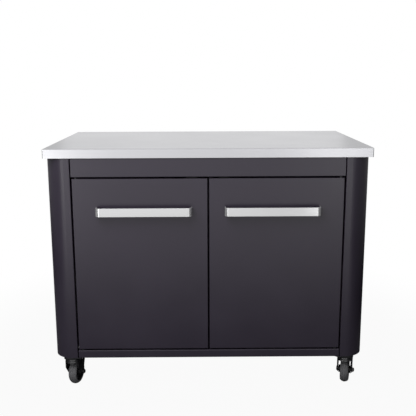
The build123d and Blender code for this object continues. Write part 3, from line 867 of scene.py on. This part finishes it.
def make_axle_bolt(sizes, place):
    """A hexagon bolt through the fork with a collared lock nut."""
    hub = Vector(JOINTS["rear_left_roll"]["pos_m"])
    low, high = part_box("rear_left_axle")
    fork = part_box("rear_left_fork")[1].x - hub.x
    head_end = low.x - hub.x
    bolt_end = high.x - hub.x
    hexagon = (high.y - low.y) / 2
    chamfer = sizes.hexagon_chamfer
    collar = bolt_end - chamfer
    nut = collar - sizes.nut_collar
    shape = bmesh.new()
    add_bar(shape, 6, hexagon, head_end, -fork, chamfer)
    add_bar(shape, BAR_STEPS, BOLT_SHARE * hexagon, head_end + chamfer, bolt_end, chamfer)
    add_bar(shape, 6, hexagon, fork, nut, chamfer)
    add_bar(shape, BAR_STEPS, COLLAR_SHARE * hexagon, nut, collar, chamfer)
    bmesh.ops.transform(shape, matrix=place, verts=shape.verts)
    return shape


def make_pedal_ribs(sizes, place):
    """Grip ribs across the sloping top of a brake pedal, which reaches backwards from its pin."""
    shape = bmesh.new()
    span = (sizes.rib_width, RIB_SHARE * sizes.rib_pitch, 2 * sizes.rib_height)
    for i in range(RIB_COUNT):
        back = RIB_START + i * sizes.rib_pitch
        top = PEDAL_TOP - back * PEDAL_SLOPE
        verts = bmesh.ops.create_cube(shape, size=1)["verts"]
        bmesh.ops.scale(shape, vec=span, verts=verts)
        bmesh.ops.translate(shape, vec=(0, -back, top), verts=verts)
    bmesh.ops.bevel(
        shape,
        geom=shape.edges[:],
        offset=RIB_ROUND * sizes.rib_height,
        segments=2,
        profile=0.5,
        affect="EDGES",
        material=-1,
    )
    bmesh.ops.transform(shape, matrix=place, verts=shape.verts)
    return shape


class KITCHEN_OT_casters(bpy.types.Operator):
    """Puts pressed forks, axle bolts and pedal ribs on the casters and finishes their other pieces"""

    bl_idname = "kitchen.casters"
    bl_label = "Casters"

    def execute(self, context):
        dress("caster_kingpins", "caster_ball_rings", "caster_bolts")
        sizes = context.scene.kitchen_sizes
        for name in CASTERS:
            dress(name + "_mount_plate", name + "_caster_plate")
            shape = make_fork(sizes, name)
            add_piece(name + "_pressed_fork", shape, name + "_caster", "caster_black", name + "_fork")
            shape = make_axle_bolt(sizes, axle_frame(name + "_roll"))
            add_piece(name + "_axle_bolt", shape, name + "_caster", "caster_black", name + "_axle")
        for name in BRAKED:
            dress(name + "_brake_pedal")
            shape = make_pedal_ribs(sizes, axle_frame(name + "_brake_press"))
            add_piece(name + "_pedal_ribs", shape, name + "_brake", "caster_black")
        return {"FINISHED"}


def make_tyre(sizes, place):
    """A solid tyre about the X axis with a round crown and two grooves."""
    hub = Vector(JOINTS["rear_left_roll"]["pos_m"])
    points = [vert.co - hub for vert in frame["nodes"]["rear_left_tyre"].data.vertices]
    half = max(point.x for point in points)
    radius = max(point.yz.length for point in points)
    seat = min(point.yz.length for point in points)
    crown = radius - max(point.yz.length for point in points if point.x > half - TOUCH)
    arc = (half**2 + crown**2) / (2 * crown)
    sweep = 2 * math.asin(half / arc)
    shape = bmesh.new()
    shoulder = shape.verts.new((-half, 0, radius - crown))
    bmesh.ops.spin(
        shape,
        geom=[shoulder],
        cent=(0, 0, radius - arc),
        axis=(0, 1, 0),
        angle=sweep,
        steps=CROWN_STEPS,
        use_duplicate=False,
    )
    ends = [vert for vert in shape.verts if abs(vert.co.z - (radius - crown)) < TOUCH]
    wall = bmesh.ops.extrude_vert_indiv(shape, verts=ends)["verts"]
    for vert in wall:
        vert.co.z = seat
    shape.edges.new(wall)
    bmesh.ops.spin(
        shape,
        geom=shape.verts[:] + shape.edges[:],
        cent=(0, 0, 0),
        axis=(1, 0, 0),
        angle=2 * math.pi,
        steps=TYRE_STEPS,
        use_merge=True,
    )
    bmesh.ops.recalc_face_normals(shape, faces=shape.faces)
    for groove in (-half / 3, half / 3):
        tread = [face for face in shape.faces if face.calc_center_median().yz.length > seat]
        faces = [face for face in tread if abs(face.calc_center_median().x - groove) < GROOVE_REACH]
        bmesh.ops.inset_region(
            shape, faces=faces, thickness=sizes.groove_lip, depth=-sizes.groove_depth, use_even_offset=True
        )
    bmesh.ops.transform(shape, matrix=place, verts=shape.verts)
    return shape


class KITCHEN_OT_wheels(bpy.types.Operator):
    """Finishes the wheel cores and puts grooved tyres on them"""

    bl_idname = "kitchen.wheels"
    bl_label = "Wheels"

    def execute(self, context):
        for name in CASTERS:
            dress(name + "_wheel_core")
            shape = make_tyre(context.scene.kitchen_sizes, axle_frame(name + "_roll"))
            add_piece(name + "_grooved_tyre", shape, name + "_wheel", "tyre_rubber", name + "_tyre")
        return {"FINISHED"}


# Stage

# The camera of the photograph, fitted to the worktop's corners and the gap lines, in metres and pixels.
CAMERA_PLACE = (-0.0158, -2.7048, 1.2137)
CAMERA_YAW = math.radians(-0.347)
CAMERA_PITCH = math.radians(11.692)
CAMERA_ROLL = math.radians(-0.230)
FOCAL_LENGTH = 655.04
PICTURE_WIDTH = 416
# Heights between which a card goes from black to its own grey.
CARD_BLACK = 0.25
CARD_GREY = 0.8


def add_camera():
    """The camera where the photograph was taken."""
    right = Vector((math.cos(CAMERA_YAW), math.sin(CAMERA_YAW), 0))
    ahead = Vector((-math.sin(CAMERA_YAW), math.cos(CAMERA_YAW), 0))
    up = Vector((0, 0, 1))
    forward = ahead * math.cos(CAMERA_PITCH) - up * math.sin(CAMERA_PITCH)
    upward = up * math.cos(CAMERA_PITCH) + ahead * math.sin(CAMERA_PITCH)
    side = right * math.cos(CAMERA_ROLL) + upward * math.sin(CAMERA_ROLL)
    top = upward * math.cos(CAMERA_ROLL) - right * math.sin(CAMERA_ROLL)
    data = bpy.data.cameras.new("camera")
    data.sensor_width = 36
    data.lens = FOCAL_LENGTH / PICTURE_WIDTH * data.sensor_width
    camera = bpy.data.objects.new("camera", data)
    turn = Matrix((side, top, -forward)).transposed().to_4x4()
    camera.matrix_world = Matrix.Translation(CAMERA_PLACE) @ turn
    bpy.context.scene.collection.objects.link(camera)
    bpy.context.scene.camera = camera


def add_lamp(name, place, target, size, power, glint):
    """A soft box: a rectangular lamp that faces its target. Only one with a glint shows in reflections."""
    data = bpy.data.lights.new(name, "AREA")
    data.shape = "RECTANGLE"
    data.size, data.size_y = size
    data.energy = power
    lamp = bpy.data.objects.new(name, data)
    lamp.location = place
    lamp.rotation_euler = (Vector(target) - Vector(place)).to_track_quat("-Z", "Y").to_euler()
    lamp.visible_glossy = glint
    bpy.context.scene.collection.objects.link(lamp)


def seen_rays(tree):
    """One for the rays that see the background: straight from the camera, off metal and through glass."""
    path = add_node(tree, "ShaderNodeLightPath").outputs
    seen = add_node(
        tree,
        "ShaderNodeMath",
        {"operation": "MAXIMUM"},
        {0: path["Is Camera Ray"], 1: path["Is Glossy Ray"]},
    )
    both = add_node(
        tree,
        "ShaderNodeMath",
        {"operation": "MAXIMUM"},
        {0: seen.outputs[0], 1: path["Is Transmission Ray"]},
    )
    return both.outputs[0]


def add_world(level):
    """A white studio round the object, which lights it softly at a lower level."""
    world = bpy.data.worlds.new("studio")
    world.use_nodes = True
    tree = world.node_tree
    tree.nodes.clear()
    soft = add_node(tree, "ShaderNodeBackground", inputs={"Color": (1, 1, 1, 1), "Strength": level})
    white = add_node(tree, "ShaderNodeBackground", inputs={"Color": (1, 1, 1, 1), "Strength": 1.0})
    mixed = add_node(
        tree, "ShaderNodeMixShader", inputs={0: seen_rays(tree), 1: soft.outputs[0], 2: white.outputs[0]}
    )
    add_node(tree, "ShaderNodeOutputWorld", inputs={"Surface": mixed.outputs[0]})
    bpy.context.scene.world = world


def zone(tree, place, reach, near, far):
    """Zero in an oval on the floor and one outside it, with a soft edge between two shares of its reach."""
    oval = add_node(
        tree,
        "ShaderNodeMapping",
        {"vector_type": "TEXTURE"},
        {"Vector": place, "Scale": (*reach, 1)},
    )
    away = add_node(tree, "ShaderNodeVectorMath", {"operation": "LENGTH"}, {0: oval.outputs[0]})
    edge = add_node(
        tree,
        "ShaderNodeMapRange",
        {"interpolation_type": "SMOOTHSTEP"},
        {"Value": away.outputs["Value"], "From Min": near, "From Max": far},
    )
    return edge.outputs["Result"]


def add_floor():
    """A floor that the camera sees white, with a faint shadow. Near the cabinet, reflections see it grey."""
    material, tree, output, place = empty_material("floor_paper")
    path = add_node(tree, "ShaderNodeLightPath").outputs
    paper = add_node(
        tree,
        "ShaderNodeBsdfPrincipled",
        inputs={"Base Color": opaque(linear("#58585A")), "Roughness": 0.9, "Specular IOR Level": 0.1},
    )
    glow = add_node(tree, "ShaderNodeEmission", inputs={"Color": (1, 1, 1, 1), "Strength": 1.0})
    beyond = zone(tree, place, reach=(1, 1), near=0.8, far=1.7)
    share = add_node(tree, "ShaderNodeMapRange", inputs={"Value": beyond, "To Min": 0.95, "To Max": 1.0})
    straight = add_node(
        tree,
        "ShaderNodeMath",
        {"operation": "MULTIPLY"},
        {0: path["Is Camera Ray"], 1: share.outputs["Result"]},
    )
    distant = zone(tree, place, reach=(2, 1), near=0.8, far=2.8)
    bounced = add_node(
        tree,
        "ShaderNodeMath",
        {"operation": "MAXIMUM"},
        {0: path["Is Glossy Ray"], 1: path["Is Transmission Ray"]},
    )
    mirrored = add_node(
        tree, "ShaderNodeMath", {"operation": "MULTIPLY"}, {0: bounced.outputs[0], 1: distant}
    )
    white = add_node(
        tree, "ShaderNodeMath", {"operation": "MAXIMUM"}, {0: straight.outputs[0], 1: mirrored.outputs[0]}
    )
    mixed = add_node(
        tree, "ShaderNodeMixShader", inputs={0: white.outputs[0], 1: paper.outputs[0], 2: glow.outputs[0]}
    )
    tree.links.new(mixed.outputs[0], output.inputs["Surface"])
    shape = bmesh.new()
    bmesh.ops.create_grid(shape, x_segments=1, y_segments=1, size=20)
    add_stage_piece("floor", shape, material)


def add_flag(name, centre, turn, span, level):
    """A grey card near the cabinet, darker towards the floor, which only reflections show."""
    material, tree, output, place = empty_material(name + "_card")
    height = add_node(tree, "ShaderNodeSeparateXYZ", inputs={0: place}).outputs["Z"]
    grey = add_node(
        tree,
        "ShaderNodeMapRange",
        inputs={"Value": height, "From Min": CARD_BLACK, "From Max": CARD_GREY, "To Max": level},
    )
    card = add_node(
        tree, "ShaderNodeEmission", inputs={"Color": (1, 1, 1, 1), "Strength": grey.outputs["Result"]}
    )
    tree.links.new(card.outputs[0], output.inputs["Surface"])
    shape = bmesh.new()
    stand = Matrix.Translation(centre) @ Matrix.Rotation(math.radians(turn), 4, "Z")
    upright = Matrix.Rotation(math.pi / 2, 4, "X") @ Matrix.Diagonal((*span, 1, 1))
    bmesh.ops.create_grid(shape, x_segments=1, y_segments=1, size=0.5, matrix=stand @ upright)
    flag = add_stage_piece(name, shape, material)
    flag.visible_camera = False
    flag.visible_diffuse = False
    flag.visible_shadow = False


def add_stage_piece(name, shape, material):
    """A floor or card, which is not part of the cabinet."""
    mesh = bpy.data.meshes.new(name)
    shape.to_mesh(mesh)
    shape.free()
    mesh.materials.append(material)
    piece = bpy.data.objects.new(name, mesh)
    bpy.context.scene.collection.objects.link(piece)
    return piece


class KITCHEN_OT_stage(bpy.types.Operator):
    """Puts the cabinet in a white studio with soft lamps and the camera of the photograph"""

    bl_idname = "kitchen.stage"
    bl_label = "Stage"

    def execute(self, context):
        context.scene.view_settings.view_transform = "Standard"
        add_floor()
        add_flag("left_flag", (-1.7, 0, 0.5), turn=90, span=(4.4, 1.0), level=0.36)
        add_flag("right_flag", (1.2, 0, 0.5), turn=90, span=(4.4, 1.0), level=0.25)
        add_flag("rear_left_flag", (-1.86, 1.2, 1.5), turn=0, span=(2.0, 2.0), level=0.7)
        add_flag("rear_right_flag", (1.82, 1.2, 1.5), turn=0, span=(2.0, 2.0), level=0.7)
        add_world(level=0.25)
        add_lamp("front_top", (-0.8, -1.4, 1.95), (-0.2, -0.35, 0.8), (1.5, 1.3), power=30, glint=False)
        add_lamp("left_strip", (-1.35, -2.4, 0.8), (-0.5, -0.3, 0.6), (0.45, 1.4), power=5.5, glint=True)
        add_lamp("right_strip", (1.12, -3.0, 0.8), (0.4, -0.3, 0.6), (0.54, 1.4), power=4, glint=True)
        add_lamp("front_low", (-0.5, -3.2, 0.9), (0, -0.3, 0.7), (2.0, 1.6), power=3, glint=True)
        add_lamp("rear_left", (-1.7, 2.0, 1.8), (-0.4, 0.35, 0.6), (1.2, 1.2), power=20, glint=False)
        add_lamp("rear_right", (1.7, 2.0, 1.8), (0.4, 0.35, 0.6), (1.2, 1.2), power=20, glint=False)
        add_camera()
        return {"FINISHED"}


class KITCHEN_PT_panel(bpy.types.Panel):
    """Lists the steps that dress the cabinet, and their settings"""

    bl_idname = "KITCHEN_PT_panel"
    bl_label = "Outdoor Kitchen"
    bl_space_type = "VIEW_3D"
    bl_region_type = "UI"
    bl_category = "Kitchen"

    def draw(self, context):
        for step in STEPS:
            self.layout.operator(step.bl_idname)
        for group in (context.scene.kitchen_sizes, context.scene.kitchen_colours):
            for name in group.bl_rna.properties.keys():
                if name not in ("rna_type", "name"):
                    self.layout.prop(group, name)


STEPS = (
    KITCHEN_OT_worktop,
    KITCHEN_OT_shell,
    KITCHEN_OT_hose_port,
    KITCHEN_OT_inside,
    KITCHEN_OT_doors,
    KITCHEN_OT_screws,
    KITCHEN_OT_casters,
    KITCHEN_OT_wheels,
    KITCHEN_OT_stage,
)
CLASSES = (KitchenColours, KitchenSizes, *STEPS, KITCHEN_PT_panel)


def register():
    for kind in CLASSES:
        bpy.utils.register_class(kind)
    bpy.types.Scene.kitchen_colours = bpy.props.PointerProperty(type=KitchenColours)
    bpy.types.Scene.kitchen_sizes = bpy.props.PointerProperty(type=KitchenSizes)


def unregister():
    del bpy.types.Scene.kitchen_sizes
    del bpy.types.Scene.kitchen_colours
    for kind in reversed(CLASSES):
        bpy.utils.unregister_class(kind)


def main():
    """Dresses and stages the cabinet."""
    register()
    bpy.ops.kitchen.worktop()
    bpy.ops.kitchen.shell()
    bpy.ops.kitchen.hose_port()
    bpy.ops.kitchen.inside()
    bpy.ops.kitchen.doors()
    bpy.ops.kitchen.screws()
    bpy.ops.kitchen.casters()
    bpy.ops.kitchen.wheels()
    bpy.ops.kitchen.stage()


if __name__ == "__main__":
    main()
